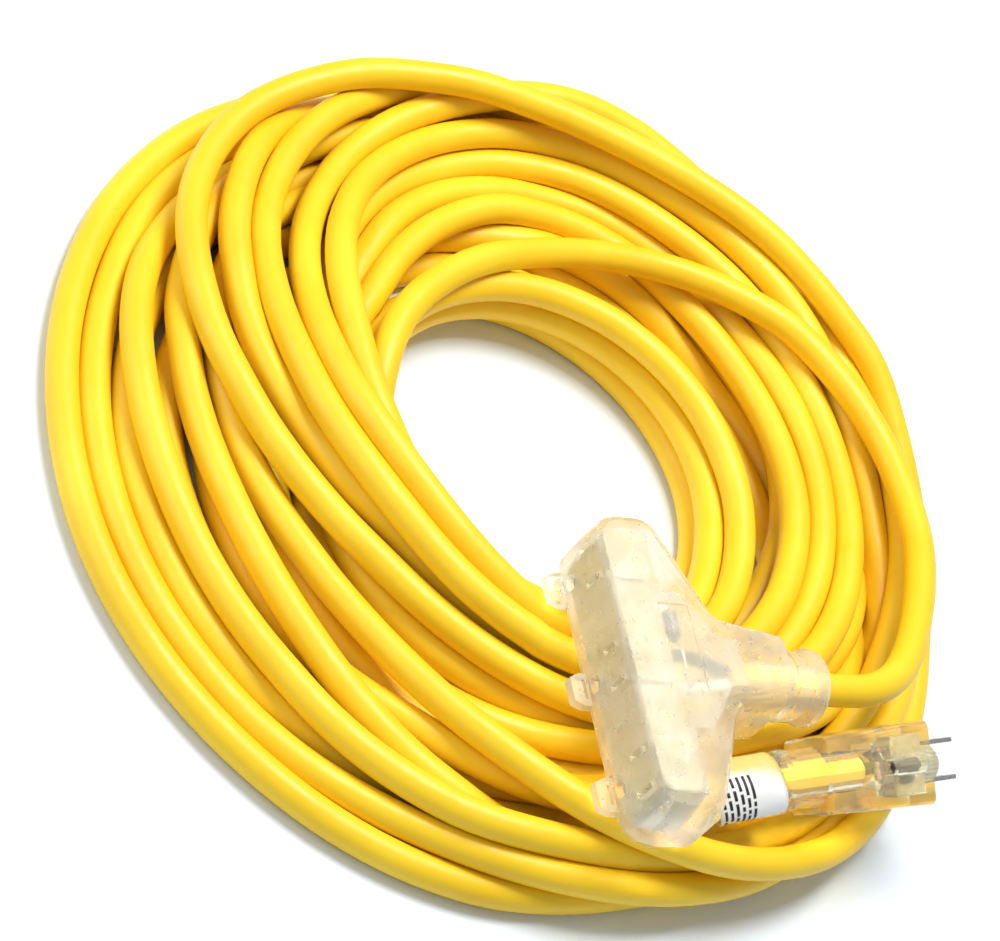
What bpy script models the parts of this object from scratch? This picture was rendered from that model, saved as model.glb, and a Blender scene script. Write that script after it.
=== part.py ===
"""Heavy-duty extension cord lying in a flat round coil.

A clear moulded three-outlet connector lies on the coil with its cord leaving it as the first turn. The
last turn ends in a clear moulded three-pin plug with a loose label sleeve behind it. Each end holds its
own metalwork, lamp circuit and insulated conductors, so every separate physical piece is its own object.

World frame: metres, +Z up, origin on the floor at the centre of the coil, connector neck towards +Y.
Connector frame: X along its bar, Y from the outlet face to the neck, Z up from its underside.
Plug frame: X across the two blades, Y out of the blade face, Z away from the ground pin.
"""

import math

import bmesh
import bpy
from mathutils import Vector

GAP = 0.0003

# Cord
CORD_R = 0.00565
CONDUCTOR_R = 0.0021
COPPER_R = 0.0013
COPPER_SHOWN = 0.0020
CONDUCTOR_POINTS = 7
COIL_PROFILE = [
    (0.0620, 0.0160),
    (0.0665, 0.0270),
    (0.0750, 0.0340),
    (0.0870, 0.0385),
    (0.1180, 0.0385),
    (0.1300, 0.0325),
    (0.1400, 0.0280),
    (0.1500, 0.0240),
    (0.1600, 0.0195),
    (0.1680, 0.0140),
    (0.1720, 0.0080),
    (0.1710, 0.0025),
    (0.1680, 0.0),
    (0.0650, 0.0),
    (0.0620, 0.0030),
]
COIL_STEPS = 72
CONNECTOR_LEAD_ROUTE = [
    (0.1050, 0.0640, 0.0550),
    (0.1050, 0.0760, 0.0551),
    (0.1030, 0.0900, 0.0540),
    (0.0960, 0.1035, 0.0518),
    (0.0840, 0.1155, 0.0490),
    (0.0680, 0.1265, 0.0462),
    (0.0500, 0.1360, 0.0440),
    (0.0310, 0.1430, 0.0420),
    (0.0120, 0.1470, 0.0395),
]
CONNECTOR_LEAD_POINTS = 22
PLUG_LEAD_ROUTE = [
    (0.1332, 0.0493, 0.0404),
    (0.1347, 0.0410, 0.0402),
    (0.1360, 0.0330, 0.0390),
    (0.1372, 0.0260, 0.0370),
    (0.1383, 0.0205, 0.0347),
]
PLUG_LEAD_POINTS = 9

# Label sleeve, an oval loop of sheet round the cord behind the plug
SLEEVE_START = 0.06
SLEEVE_END = 0.72
SLEEVE_WIDE_R = 0.0112
SLEEVE_THIN_R = 0.0066
SLEEVE_WALL = 0.0005
SLEEVE_RINGS = 8
SLEEVE_SIDES = 24

# Three-outlet connector. Each layer of its body is a height, then how far the ends, rear and face stand in.
BODY_LAYERS = [
    (0.0000, 0.0028, 0.0028, 0.0022),
    (0.0010, 0.0010, 0.0010, 0.0007),
    (0.0032, 0.0000, 0.0000, 0.0000),
    (0.0180, 0.0000, 0.0000, 0.0000),
    (0.0235, 0.0008, 0.0018, 0.0000),
    (0.0275, 0.0024, 0.0046, 0.0000),
    (0.0300, 0.0052, 0.0084, 0.0010),
    (0.0310, 0.0090, 0.0125, 0.0030),
]
FACE_CORNER_R = 0.0110
REAR_CORNER_R = 0.0090
CONNECTOR_AT = (0.105, -0.0173, 0.0395)
BAR_HALF = 0.0550
BAR_DEPTH = 0.027
BAR_HIGH = 0.031
SHOULDER_X = 0.0150
SHOULDER_Y = 0.0435
NECK_HALF = 0.0125
NECK_END = 0.062
RELIEF_END = 0.081
AXIS_Z = 0.0155
OUTLET_PITCH = 0.038
FRONT_WALL = 0.003
LUG_BASE = 0.0120
LUG_TIP = 0.0085
LUG_OUT = 0.0063
LUG_Z = (0.0006, 0.0042)
LUG_SLIT = 0.0012
WINDOW_LOW = (-0.0185, 0.0150)
WINDOW_HIGH = (0.0135, 0.0265)
WINDOW_DEEP = 0.0006

# Outlets and pins, from the 15 A, 125 V grounded pattern
BLADE_PITCH = 0.0127
GROUND_DROP = 0.0119
SLOT_Z = 0.020
SLOT_THICK = 0.0021
LINE_SLOT_HIGH = 0.0069
NEUTRAL_SLOT_HIGH = 0.0083
GROUND_HOLE = 0.0055
GROUND_Z = SLOT_Z - GROUND_DROP

# Inner block of the connector and the spaces in it
BLOCK_HALF = 0.0475
BLOCK_Y = (FRONT_WALL + GAP, 0.0172)
BLOCK_Z = (0.0040, 0.0270)
CROWN_HALF = 0.0092
CROWN_HIGH = 0.0015
CROWN_CORNER_R = 0.0030
CHAMBER_Y = 0.0063
CHAMBER_X = 0.0050
CHAMBER_Z = (0.0157, 0.0248)
GROUND_CHAMBER_X = 0.0082
GROUND_CHAMBER_Z = (0.0050, 0.0113)
REAR_Y = 0.0310
REAR_HALF = 0.0250
THROAT_HALF = 0.0085
JACKET_START = 0.0450

# Spring contacts
LEAF = 0.0008
BUS_Y = (0.0176, 0.0186)
BUS_MARGIN = 0.0005
LEAF_TIP_Y = 0.0072
BLADE_NIP = 0.0013
PIN_NIP = 0.0046
LINE_BUS_Z = (0.0206, 0.0240)
NEUTRAL_BUS_Z = (0.0162, 0.0196)
GROUND_BUS_Z = (0.0056, 0.0107)

# Plug
PLUG_AT = (0.1246, 0.1070, 0.0440)
PLUG_YAW = math.radians(10.1)
PLUG_ROLL = math.radians(25.0)
PLUG_FRONT_HALF = 0.0143
PLUG_BACK_HALF = 0.0128
PLUG_TOP = 0.0100
PLUG_UNDER = -0.0070
PLUG_LONG = 0.043
PLUG_RELIEF_END = 0.058
PLUG_AXIS_Z = -0.004
GROUND_RIDGE_R = 0.0070
GROUND_RIDGE_LONG = 0.027
LAMP_RIDGE_R = 0.0064
LAMP_RIDGE_Z = 0.0080
LAMP_RIDGE_LONG = 0.0175
LAMP_POCKET_Y = (-0.0195, -0.0035)
BRIDGE_LONG = 0.0130
BRIDGE_HALF = 0.0100
BRIDGE_TOP = 0.0040
BRIDGE_PIN_R = 0.0045
BRIDGE_WEB_HALF = 0.0030
BLADE_OUT = 0.0179
BLADE_IN = 0.0140
BLADE_HIGH = 0.0063
BLADE_THICK = 0.0015
BLADE_HOLE_R = 0.0016
BLADE_HOLE_BACK = 0.0060
PIN_OUT = 0.0212
PIN_R = 0.0024
PIN_WALL = 0.0008
PLUG_JACKET_START = 0.0238

# Lamp circuits
LAMP_R = 0.0026
LAMP_LONG = 0.0120
RESISTOR_R = 0.0012
RESISTOR_LONG = 0.0062
WIRE_R = 0.0004

ROUND = 16
CONTACT_LINE, CONTACT_NEUTRAL, CONTACT_GROUND = -BLADE_PITCH / 2, BLADE_PITCH / 2, 0.0


def material(name, colour, roughness, metallic=0.0, alpha=1.0):
    made = bpy.data.materials.new(name)
    made.use_nodes = True
    shader = made.node_tree.nodes["Principled BSDF"]
    shader.inputs["Base Color"].default_value = (*colour, 1.0)
    shader.inputs["Roughness"].default_value = roughness
    shader.inputs["Metallic"].default_value = metallic
    shader.inputs["Alpha"].default_value = alpha
    made.diffuse_color = (*colour, alpha)
    return made


def empty(name, location, rotation=(0.0, 0.0, 0.0)):
    made = bpy.data.objects.new(name, None)
    made.location = location
    made.rotation_euler = rotation
    bpy.context.scene.collection.objects.link(made)
    return made


def add(name, shape, look, parent=None, location=(0.0, 0.0, 0.0)):
    """Link a bmesh as one object, shaded smooth with its corners kept."""
    bmesh.ops.recalc_face_normals(shape, faces=shape.faces)
    mesh = bpy.data.meshes.new(name)
    shape.to_mesh(mesh)
    shape.free()
    mesh.shade_smooth()
    mesh.set_sharp_from_angle(angle=math.radians(35))
    if look:
        mesh.materials.append(look)
    made = bpy.data.objects.new(name, mesh)
    made.parent = parent
    made.location = location
    bpy.context.scene.collection.objects.link(made)
    return made


def rounded(corners, steps=3):
    """A closed outline through (x, y, radius) corners, each turned into an arc."""
    outline = []
    for index, (x, y, radius) in enumerate(corners):
        corner = Vector((x, y))
        before = (Vector(corners[index - 1][:2]) - corner).normalized()
        after = (Vector(corners[(index + 1) % len(corners)][:2]) - corner).normalized()
        half = before.angle(after) / 2
        centre = corner + (before + after).normalized() * radius / math.sin(half)
        reach = radius / math.tan(half)
        start = (corner + before * reach - centre).normalized()
        end = (corner + after * reach - centre).normalized()
        outline += [centre + radius * start.slerp(end, step / steps) for step in range(steps + 1)]
    return outline


def mirrored(right_side):
    """The whole outline of a shape from its right half, listed front to back."""
    return right_side + [(-x, y, radius) for x, y, radius in reversed(right_side)]


def stacked(sections):
    """A closed solid through sections that have the same number of points."""
    shape = bmesh.new()
    rings = [[shape.verts.new(point) for point in section] for section in sections]
    for lower, upper in zip(rings, rings[1:]):
        for index, vert in enumerate(lower):
            after = (index + 1) % len(lower)
            shape.faces.new((vert, lower[after], upper[after], upper[index]))
    shape.faces.new(reversed(rings[0]))
    shape.faces.new(rings[-1])
    return shape


def upright(outline, low, high):
    """An (x, y) outline raised from low to high along Z."""
    return stacked([[(x, y, z) for x, y in outline] for z in (low, high)])


def block(low, high):
    corners = [(low[0], low[1]), (high[0], low[1]), (high[0], high[1]), (low[0], high[1])]
    return upright(corners, low[2], high[2])


def join(shapes):
    """Several bmeshes as one, each staying a body of its own."""
    whole = bmesh.new()
    for shape in shapes:
        mesh = bpy.data.meshes.new("part")
        bmesh.ops.recalc_face_normals(shape, faces=shape.faces)
        shape.to_mesh(mesh)
        shape.free()
        whole.from_mesh(mesh)
        bpy.data.meshes.remove(mesh)
    return whole


def turned(profile, centre_x=0.0, centre_z=0.0, sides=ROUND):
    """(y, radius) stations turned about an axis along Y."""
    sections = []
    for y, radius in profile:
        turns = [2 * math.pi * side / sides for side in range(sides)]
        ring = [(centre_x + radius * math.cos(t), y, centre_z + radius * math.sin(t)) for t in turns]
        sections.append(ring)
    return stacked(sections)


def helper(name, shape, parent=None):
    """A hidden cutter or filler for a Boolean."""
    made = add(name, shape, None, parent)
    made.hide_render = True
    made.display_type = "WIRE"
    return made


def combine(target, other, operation="DIFFERENCE"):
    modifier = target.modifiers.new(other.name, "BOOLEAN")
    modifier.operation = operation
    modifier.object = other


def soften(target, width, segments=2):
    modifier = target.modifiers.new("edges", "BEVEL")
    modifier.width = width
    modifier.segments = segments
    modifier.limit_method = "ANGLE"
    modifier.angle_limit = math.radians(50)


def smooth_route(route, count):
    """Evenly stepped points on the Catmull-Rom curve through a route."""
    points = [Vector(point) for point in route]
    ends = [2 * points[0] - points[1], *points, 2 * points[-1] - points[-2]]
    found = []
    for index in range(count):
        place = index * (len(points) - 1) / (count - 1)
        span = min(int(place), len(points) - 2)
        t = place - span
        a, b, c, d = ends[span : span + 4]
        found.append(
            0.5 * (2 * b + (c - a) * t + (2 * a - 5 * b + 4 * c - d) * t**2 + (3 * b - a - 3 * c + d) * t**3)
        )
    return found


def tube(name, points, radius, look, parent=None, detail=2):
    curve = bpy.data.curves.new(name, "CURVE")
    curve.dimensions = "3D"
    curve.bevel_depth = radius
    curve.bevel_resolution = detail
    curve.use_fill_caps = True
    spline = curve.splines.new("POLY")
    spline.points.add(len(points) - 1)
    for place, point in zip(spline.points, points):
        place.co = (*point, 1.0)
    curve.materials.append(look)
    made = bpy.data.objects.new(name, curve)
    made.parent = parent
    bpy.context.scene.collection.objects.link(made)
    return made


def coil(look):
    shape = bmesh.new()
    rings = []
    for step in range(COIL_STEPS):
        turn = 2 * math.pi * step / COIL_STEPS
        rings.append([shape.verts.new((r * math.cos(turn), r * math.sin(turn), z)) for r, z in COIL_PROFILE])
    for ring, after in zip(rings, rings[1:] + rings[:1]):
        for index, vert in enumerate(ring):
            above = (index + 1) % len(ring)
            shape.faces.new((vert, ring[above], after[above], after[index]))
    return add("cord_coil", shape, look)


def label_sleeve(look):
    """An oval tube of thin sheet that follows the plug lead."""
    path = smooth_route(PLUG_LEAD_ROUTE, 50)
    first, last = round(SLEEVE_START * 49), round(SLEEVE_END * 49)
    shape = bmesh.new()
    rings = []
    for ring in range(SLEEVE_RINGS):
        index = first + round(ring * (last - first) / (SLEEVE_RINGS - 1))
        along = (path[index + 1] - path[index - 1]).normalized()
        level = along.cross(Vector((0.0, 0.0, 1.0))).normalized()
        upward = level.cross(along)
        across = -level * math.cos(PLUG_ROLL) - upward * math.sin(PLUG_ROLL)
        through = across.cross(along)
        for wall, sides in ((0.0, 0), (SLEEVE_WALL, 1)):
            turns = [2 * math.pi * side / SLEEVE_SIDES for side in range(SLEEVE_SIDES)]
            rings.append(
                [
                    shape.verts.new(
                        path[index]
                        + across * (SLEEVE_WIDE_R - wall) * math.cos(turn)
                        + through * (SLEEVE_THIN_R - wall) * math.sin(turn)
                    )
                    for turn in turns
                ]
            )
    outer, inner = rings[0::2], rings[1::2]
    for skins in (outer, inner):
        for ring, after in zip(skins, skins[1:]):
            bridge(shape, ring, after)
    for ends in (0, -1):
        bridge(shape, outer[ends], inner[ends])
    return add("label_sleeve", shape, look)


def bridge(shape, ring, after):
    for index, vert in enumerate(ring):
        beside = (index + 1) % len(ring)
        shape.faces.new((vert, ring[beside], after[beside], after[index]))


def outlet_places():
    return [(number - 1) * OUTLET_PITCH for number in range(3)]


def outlet_slots(low_y, high_y):
    """The two blade slots and the ground hole of every outlet, as cutters."""
    shapes = []
    for x in outlet_places():
        for offset, high in ((CONTACT_LINE, LINE_SLOT_HIGH), (CONTACT_NEUTRAL, NEUTRAL_SLOT_HIGH)):
            half = Vector((SLOT_THICK / 2, 0.0, high / 2))
            middle = Vector((x + offset, 0.0, SLOT_Z))
            low, high_corner = middle - half, middle + half
            shapes.append(block((low.x, low_y, low.z), (high_corner.x, high_y, high_corner.z)))
        half = GROUND_HOLE / 2
        flat_low = [
            (-half, -half, 0.0012),
            (half, -half, 0.0012),
            (half, half, 0.0022),
            (-half, half, 0.0022),
        ]
        outline = rounded(flat_low, 2)
        sections = [[(x + a, y, GROUND_Z + b) for a, b in outline] for y in (low_y, high_y)]
        shapes.append(stacked(sections))
    return join(shapes)


def connector_body():
    """The bar, shoulders and neck in one form, with rounded ends and a top that falls away to the rear."""
    sections = []
    for height, end, rear, face in BODY_LAYERS:
        half_outline = [
            (BAR_HALF - end, face, FACE_CORNER_R - 0.6 * end),
            (BAR_HALF - end, BAR_DEPTH - rear, REAR_CORNER_R - 0.6 * end),
            (SHOULDER_X, SHOULDER_Y - rear, 0.010),
            (NECK_HALF - end / 2, NECK_END, 0.0015),
        ]
        sections.append([(x, y, height) for x, y in rounded(mirrored(half_outline))])
    return stacked(sections)


def connector_housing(look, parent):
    housing = add("connector_housing", connector_body(), look, parent)
    soften(housing, 0.0010)

    rim = RELIEF_END
    profile = [
        (NECK_END - 0.004, 0.0115),
        (NECK_END + 0.0035, 0.0122),
        (NECK_END + 0.0035, 0.0112),
        (NECK_END + 0.0055, 0.0112),
        (NECK_END + 0.0055, 0.0120),
        (NECK_END + 0.0090, 0.0120),
        (NECK_END + 0.0090, 0.0110),
        (NECK_END + 0.0110, 0.0110),
        (NECK_END + 0.0120, 0.0122),
        (rim - 0.0050, 0.0132),
        (rim - 0.0025, 0.0130),
        (rim - 0.0008, 0.0118),
        (rim, 0.0100),
    ]
    combine(housing, helper("relief_form", turned(profile, 0.0, AXIS_Z, 24), parent), "UNION")

    lugs = []
    for x in outlet_places():
        base, tip = LUG_BASE / 2, LUG_TIP / 2
        outline = [(x - base, 0.004), (x - base, -0.0025), (x - tip, -LUG_OUT)]
        outline += [(x + tip, -LUG_OUT), (x + base, -0.0025), (x + base, 0.004)]
        lugs.append(upright(outline, *LUG_Z))
    combine(housing, helper("lug_forms", join(lugs), parent), "UNION")
    slits = [
        block((x - 0.0035, -0.0022, LUG_Z[0] - 0.001), (x + 0.0035, -0.0022 + LUG_SLIT, LUG_Z[1] + 0.001))
        for x in outlet_places()
    ]
    combine(housing, helper("lug_slits", join(slits), parent))

    cavity_outline = rounded(
        mirrored(
            [
                (BLOCK_HALF + GAP, FRONT_WALL, 0.004),
                (BLOCK_HALF + GAP, BUS_Y[1] + GAP, 0.0003),
                (REAR_HALF, BUS_Y[1] + 2 * GAP, 0.0001),
                (REAR_HALF, REAR_Y - 0.004, 0.004),
                (THROAT_HALF, 0.0385, 0.004),
                (THROAT_HALF, JACKET_START, 0.0005),
            ]
        )
    )
    low, high = BLOCK_Z[0] - GAP, BLOCK_Z[1] + GAP
    combine(housing, helper("connector_cavity", upright(cavity_outline, low, high), parent))
    bore = [(JACKET_START - 0.001, CORD_R + GAP), (RELIEF_END + 0.002, CORD_R + GAP)]
    combine(housing, helper("connector_bore", turned(bore, 0.0, AXIS_Z, 24), parent))
    combine(housing, helper("face_slots", outlet_slots(-0.001, FRONT_WALL + 0.001), parent))
    window = block((*WINDOW_LOW, BAR_HIGH - WINDOW_DEEP), (*WINDOW_HIGH, BAR_HIGH + 0.001))
    combine(housing, helper("window_recess", window, parent))


def connector_block(look, parent):
    outline = rounded(
        mirrored([(BLOCK_HALF, BLOCK_Y[0], 0.004), (BLOCK_HALF, BLOCK_Y[1], 0.001)])
    )
    shoulder_z = BLOCK_Z[1] - CROWN_HIGH
    body = add("connector_inner_block", upright(outline, BLOCK_Z[0], shoulder_z), look, parent)
    crowns = []
    for x in outlet_places():
        front, back = BLOCK_Y
        left, right = x - CROWN_HALF, x + CROWN_HALF
        corners = [(left, front), (right, front), (right, back), (left, back)]
        corners = [(*corner, CROWN_CORNER_R) for corner in corners]
        crowns.append(upright(rounded(corners), shoulder_z - CROWN_HIGH, BLOCK_Z[1]))
    combine(body, helper("block_crowns", join(crowns), parent), "UNION")
    combine(body, helper("block_slots", outlet_slots(0.001, BLOCK_Y[1] + 0.001), parent))
    chambers = []
    for x in outlet_places():
        for offset in (CONTACT_LINE, CONTACT_NEUTRAL):
            left = x + offset - CHAMBER_X / 2
            low = (left, CHAMBER_Y, CHAMBER_Z[0])
            chambers.append(block(low, (left + CHAMBER_X, BLOCK_Y[1] + 0.002, CHAMBER_Z[1])))
        left = x - GROUND_CHAMBER_X / 2
        low = (left, CHAMBER_Y, GROUND_CHAMBER_Z[0])
        chambers.append(block(low, (left + GROUND_CHAMBER_X, BLOCK_Y[1] + 0.002, GROUND_CHAMBER_Z[1])))
    combine(body, helper("contact_chambers", join(chambers), parent))


def contact_bus(name, offset, nip, heights, look, parent):
    """A strip with a pair of spring leaves at each outlet, bent from one sheet."""
    reach = OUTLET_PITCH + nip / 2 + LEAF + BUS_MARGIN
    outline = [(offset - reach, BUS_Y[1]), (offset - reach, BUS_Y[0])]
    for x in outlet_places():
        for side in (-1, 1):
            near = x + offset + side * nip / 2
            far = near + side * LEAF
            left, right = min(near, far), max(near, far)
            outline += [(left, BUS_Y[0]), (left, LEAF_TIP_Y), (right, LEAF_TIP_Y), (right, BUS_Y[0])]
    outline += [(offset + reach, BUS_Y[0]), (offset + reach, BUS_Y[1])]
    return add(name, upright(outline, *heights), look, parent)


def conductor(end, kind, route, looks, parent):
    """An insulated conductor, with its bare copper running on straight to the metal it feeds."""
    path = smooth_route(route, CONDUCTOR_POINTS)
    tube(f"{end}_{kind}_conductor", path, CONDUCTOR_R, looks[kind], parent)
    towards = Vector((0.0, math.copysign(1.0, path[0].y - path[-1].y), 0.0))
    bare = [path[0] + towards * GAP, path[0] + towards * (GAP + COPPER_SHOWN)]
    tube(f"{end}_{kind}_copper", bare, COPPER_R, looks["copper"], parent)


def lamp_circuit(end, lamp_at, lamp_turn, resistor_at, wires, looks, parent):
    """A glow lamp with its resistor, and the two thin wires that feed them."""
    length = LAMP_LONG / 2
    profile = [(-length, 0.0010), (-length + 0.0015, LAMP_R), (length - 0.0030, LAMP_R)]
    profile += [(length - 0.0012, 0.0018), (length, 0.0006)]
    lamp = add(f"{end}_lamp", turned(profile, sides=12), looks["lamp"], parent, lamp_at)
    lamp.rotation_euler = (0.0, 0.0, lamp_turn)
    length = RESISTOR_LONG / 2
    profile = [(-length, 0.0008), (-length + 0.0004, RESISTOR_R), (-length + 0.0016, RESISTOR_R)]
    profile += [(-length + 0.0020, 0.0010), (length - 0.0020, 0.0010), (length - 0.0016, RESISTOR_R)]
    profile += [(length - 0.0004, RESISTOR_R), (length, 0.0008)]
    resistor = add(f"{end}_lamp_resistor", turned(profile, sides=12), looks["resistor"], parent, resistor_at)
    resistor.rotation_euler = (0.0, 0.0, -math.pi / 2)
    for number, route in enumerate(wires, 1):
        tube(f"{end}_lamp_wire_{number}", smooth_route(route, 7), WIRE_R, looks["steel"], parent)


def connector(looks):
    frame = empty("connector", CONNECTOR_AT)
    connector_housing(looks["clear"], frame)
    connector_block(looks["insert"], frame)
    contact_bus("connector_line_bus", CONTACT_LINE, BLADE_NIP, LINE_BUS_Z, looks["brass"], frame)
    contact_bus("connector_neutral_bus", CONTACT_NEUTRAL, BLADE_NIP, NEUTRAL_BUS_Z, looks["brass"], frame)
    contact_bus("connector_ground_bus", CONTACT_GROUND, PIN_NIP, GROUND_BUS_Z, looks["brass"], frame)
    routes = {
        "line": [(-0.0040, 0.0222, 0.0222), (-0.0040, 0.0300, 0.0210), (-0.0026, 0.0441, 0.0172)],
        "neutral": [(0.0060, 0.0222, 0.0180), (0.0058, 0.0300, 0.0180), (0.0026, 0.0441, 0.0172)],
        "ground": [(0.0000, 0.0222, 0.0082), (0.0000, 0.0300, 0.0088), (0.0000, 0.0441, 0.0126)],
    }
    for kind, route in routes.items():
        conductor("connector", kind, route, looks, frame)
    lamp_at, resistor_at = (-0.0140, 0.0232, 0.0235), (0.0060, 0.0240, 0.0247)
    wires = [
        [
            (-0.0203, 0.0232, 0.0235),
            (-0.0215, 0.0225, 0.0234),
            (-0.0217, 0.0210, 0.0230),
            (-0.0217, 0.0190, 0.0225),
        ],
        [
            (-0.0077, 0.0232, 0.0240),
            (-0.0040, 0.0237, 0.0252),
            (0.0000, 0.0240, 0.0250),
            (0.0026, 0.0240, 0.0247),
        ],
    ]
    lamp_circuit("connector", lamp_at, -math.pi / 2, resistor_at, wires, looks, frame)
    middle = (JACKET_START + RELIEF_END) / 2
    stub = [Vector((0.0, y, AXIS_Z)) for y in (JACKET_START, middle, RELIEF_END)]
    tube("connector_jacket_end", stub, CORD_R, looks["jacket"], frame, 4)


def plug_housing(look, parent):
    """A tapered body with the ground ridge below, the lamp ridge above and the relief behind."""
    sections = []
    for y, half, top, under in (
        (-PLUG_LONG, PLUG_BACK_HALF, 0.0072, -0.0148),
        (-0.028, 0.0134, 0.0088, -0.0128),
        (-0.016, 0.0138, PLUG_TOP, -0.0085),
        (0.0, PLUG_FRONT_HALF, PLUG_TOP, PLUG_UNDER),
    ):
        corner = 0.0026
        outline = rounded(
            [(-half, under, corner), (half, under, corner), (half, top, corner), (-half, top, corner)], 3
        )
        sections.append([(x, y, z) for x, z in outline])
    housing = add("plug_housing", stacked(sections), look, parent)

    ridge = [(-GROUND_RIDGE_LONG - 0.008, 0.0030), (-GROUND_RIDGE_LONG, GROUND_RIDGE_R), (0.0, GROUND_RIDGE_R)]
    form = turned(ridge, 0.0, -GROUND_DROP, 24)
    combine(housing, helper("ground_ridge_form", form, parent), "UNION")
    ridge = [(-LAMP_RIDGE_LONG, 0.0045), (-LAMP_RIDGE_LONG + 0.0025, LAMP_RIDGE_R)]
    ridge += [(-0.0012, LAMP_RIDGE_R), (-0.0001, LAMP_RIDGE_R - 0.0008)]
    form = turned(ridge, 0.0, LAMP_RIDGE_Z, 24)
    combine(housing, helper("lamp_ridge_form", form, parent), "UNION")
    relief = [
        (-PLUG_RELIEF_END, 0.0094),
        (-PLUG_RELIEF_END + 0.0015, 0.0104),
        (-PLUG_RELIEF_END + 0.0045, 0.0104),
        (-PLUG_RELIEF_END + 0.0055, 0.0096),
        (-PLUG_LONG - 0.004, 0.0104),
        (-PLUG_LONG + 0.004, 0.0104),
    ]
    form = turned(relief, 0.0, PLUG_AXIS_Z, 24)
    combine(housing, helper("plug_relief_form", form, parent), "UNION")

    back = -BRIDGE_LONG - GAP
    low, high = (-BRIDGE_HALF - GAP, back, -BRIDGE_TOP - GAP), (BRIDGE_HALF + GAP, 0.002, BRIDGE_TOP + GAP)
    combine(housing, helper("bridge_pocket", block(low, high), parent))
    half = BRIDGE_WEB_HALF + GAP
    low, high = (-half, back, -GROUND_DROP), (half, 0.002, -BRIDGE_TOP)
    combine(housing, helper("web_pocket", block(low, high), parent))
    pin_pocket = [(back, BRIDGE_PIN_R + GAP), (0.002, BRIDGE_PIN_R + GAP)]
    combine(housing, helper("pin_pocket", turned(pin_pocket, 0.0, -GROUND_DROP, 24), parent))
    well = block((-0.0090, -PLUG_JACKET_START, -0.0055), (0.0090, back + 0.001, 0.0066))
    combine(housing, helper("wire_well", well, parent))
    low_well = block((-0.0034, -PLUG_JACKET_START, -0.0148), (0.0034, back + 0.001, -0.0050))
    combine(housing, helper("ground_well", low_well, parent))
    lamp_pocket = [(LAMP_POCKET_Y[0], LAMP_R + GAP), (LAMP_POCKET_Y[1], LAMP_R + GAP)]
    combine(housing, helper("lamp_pocket", turned(lamp_pocket, 0.0, LAMP_RIDGE_Z), parent))
    bore = [(-PLUG_RELIEF_END - 0.002, CORD_R + GAP), (-PLUG_JACKET_START + 0.001, CORD_R + GAP)]
    combine(housing, helper("plug_bore", turned(bore, 0.0, PLUG_AXIS_Z, 24), parent))


def plug_bridge(look, parent):
    """The pre-moulded carrier that holds the blades and the ground pin."""
    low = (-BRIDGE_HALF, -BRIDGE_LONG, -BRIDGE_TOP)
    body = add("plug_bridge", block(low, (BRIDGE_HALF, 0.0, BRIDGE_TOP)), look, parent)
    sleeve = [(-BRIDGE_LONG, BRIDGE_PIN_R), (0.0, BRIDGE_PIN_R)]
    combine(body, helper("pin_sleeve", turned(sleeve, 0.0, -GROUND_DROP, 24), parent), "UNION")
    web = block((-BRIDGE_WEB_HALF, -BRIDGE_LONG, -0.0095), (BRIDGE_WEB_HALF, 0.0, -BRIDGE_TOP + 0.0005))
    combine(body, helper("sleeve_web", web, parent), "UNION")
    slots = []
    for x in (CONTACT_LINE, CONTACT_NEUTRAL):
        half = Vector((BLADE_THICK / 2 + GAP, 0.0, BLADE_HIGH / 2 + GAP))
        slots.append(block((x - half.x, -BRIDGE_LONG - 0.001, -half.z), (x + half.x, 0.001, half.z)))
    hole = [(-BRIDGE_LONG - 0.001, PIN_R + GAP), (0.001, PIN_R + GAP)]
    slots.append(turned(hole, 0.0, -GROUND_DROP))
    combine(body, helper("blade_slots", join(slots), parent))


def plug_blade(name, x, look, parent):
    """A flat blade with a chamfered tip and the round hole near it."""
    low, high, tip = -BLADE_HIGH / 2, BLADE_HIGH / 2, 0.0012
    outline = [(-BLADE_IN, low), (BLADE_OUT - tip, low), (BLADE_OUT, low + tip)]
    outline += [(BLADE_OUT, high - tip), (BLADE_OUT - tip, high), (-BLADE_IN, high)]
    sections = [[(x + side * BLADE_THICK / 2, y, z) for y, z in outline] for side in (-1, 1)]
    blade = add(name, stacked(sections), look, parent)
    turns = [2 * math.pi * side / 12 for side in range(12)]
    middle = BLADE_OUT - BLADE_HOLE_BACK
    ring = [(middle + BLADE_HOLE_R * math.cos(turn), BLADE_HOLE_R * math.sin(turn)) for turn in turns]
    sections = [[(x + side * BLADE_THICK, y, z) for y, z in ring] for side in (-1, 1)]
    combine(blade, helper(f"{name}_hole", stacked(sections), parent))


def ground_pin(look, parent):
    """A pin folded from strip: round outside, open along its middle, with a domed closed tip."""
    dome = [(PIN_OUT - PIN_R + PIN_R * math.sin(t), PIN_R * math.cos(t)) for t in (0.0, 0.5, 0.95, 1.3)]
    profile = [(-BLADE_IN, PIN_R), *dome]
    pin = add("plug_ground_pin", turned(profile, 0.0, -GROUND_DROP), look, parent)
    fold = block(
        (-PIN_R + PIN_WALL, -BLADE_IN - 0.001, -GROUND_DROP - 0.0006),
        (PIN_R + 0.001, PIN_OUT - PIN_R, -GROUND_DROP + 0.0006),
    )
    combine(pin, helper("pin_fold", fold, parent))


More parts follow.
